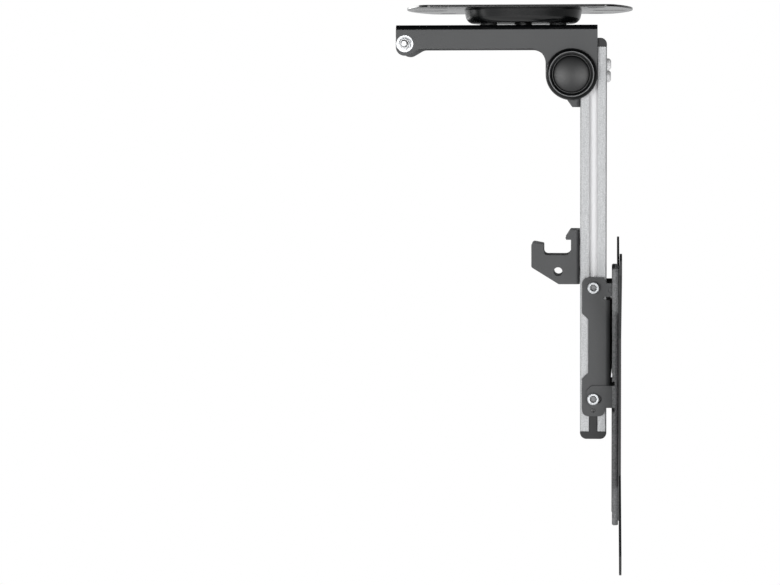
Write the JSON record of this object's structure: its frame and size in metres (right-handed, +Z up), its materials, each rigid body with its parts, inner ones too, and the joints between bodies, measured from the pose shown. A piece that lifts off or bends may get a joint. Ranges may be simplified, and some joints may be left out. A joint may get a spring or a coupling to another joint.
{
  "type": "tv ceiling mount",
  "caption": "Ceiling mount for a flat screen: a swivelling yoke and a slotted column that folds up flat and hooks onto a latch bolt",
  "frame": {"origin": "middle of the pattern of fixing slots, on the ceiling plate's top face", "axes": "+Z up to the ceiling, +X the way the screen faces, Y across the mount"},
  "size_m": [0.1672, 0.218, 0.3873],
  "materials": {
    "gloss_black_steel": "smooth black powder coat with a soft gloss",
    "black_steel": "fine matt black powder coat",
    "zinc_steel": "bright zinc plate",
    "black_plastic": "moulded black plastic",
    "cap_plastic": "moulded dark grey plastic",
    "anodised_aluminium": "clear anodised extrusion with fine lengthwise lines"
  },
  "bodies": {
    "ceiling": {"ceiling_plate": "gloss_black_steel", "swivel_bolt": "zinc_steel", "swivel_bearing": "black_plastic", "swivel_washer": "zinc_steel", "swivel_nut": "zinc_steel", "guide_studs": "black_steel", "guide_nuts": "zinc_steel"},
    "yoke": {"yoke": "black_steel", "latch_bolt": "zinc_steel", "latch_nut": "zinc_steel", "latch_washers": "zinc_steel", "hinge_bolt": "zinc_steel", "hinge_nut": "zinc_steel", "friction_washers": "black_plastic", "hinge_cover_near": "black_plastic", "hinge_cover_far": "black_plastic"},
    "column": {"knuckle": "black_steel", "knuckle_screws": "zinc_steel", "column": "anodised_aluminium", "column_cap_top": "cap_plastic", "column_cap_bottom": "cap_plastic"},
    "hook": {"hook_bracket": "black_steel", "hook_screws": "zinc_steel", "hook_slot_nuts": "zinc_steel"},
    "carriage": {"carriage": "black_steel", "upper_clamp_screws": "zinc_steel", "lower_clamp_screws": "zinc_steel", "slot_nuts": "zinc_steel", "tilt_pins": "black_steel"},
    "screen_bracket": {"vesa_channel": "black_steel", "vesa_plate": "black_steel", "channel_rivets": "black_steel"}
  },
  "joints": [
    {"name": "swivel", "type": "hinge", "parent": "ceiling", "child": "yoke", "pos_m": [0.0023, 0, -0.011], "axis": [0, 0, 1], "range_deg": [-40, 40]},
    {"name": "fold", "type": "hinge", "parent": "yoke", "child": "column", "pos_m": [0.0371, 0, -0.0473], "axis": [0, 1, 0], "range_deg": [0, 95]},
    {"name": "hook_slide", "type": "slide", "parent": "column", "child": "hook", "axis": [0, 0, 1], "range_m": [0, 0.006]},
    {"name": "height_slide", "type": "slide", "parent": "column", "child": "carriage", "axis": [0, 0, 1], "range_m": [-0.006, 0.012]},
    {"name": "tilt", "type": "hinge", "parent": "carriage", "child": "screen_bracket", "pos_m": [0.06535, 0, -0.1999], "axis": [0, 1, 0], "range_deg": [0, 2.5]}
  ]
}
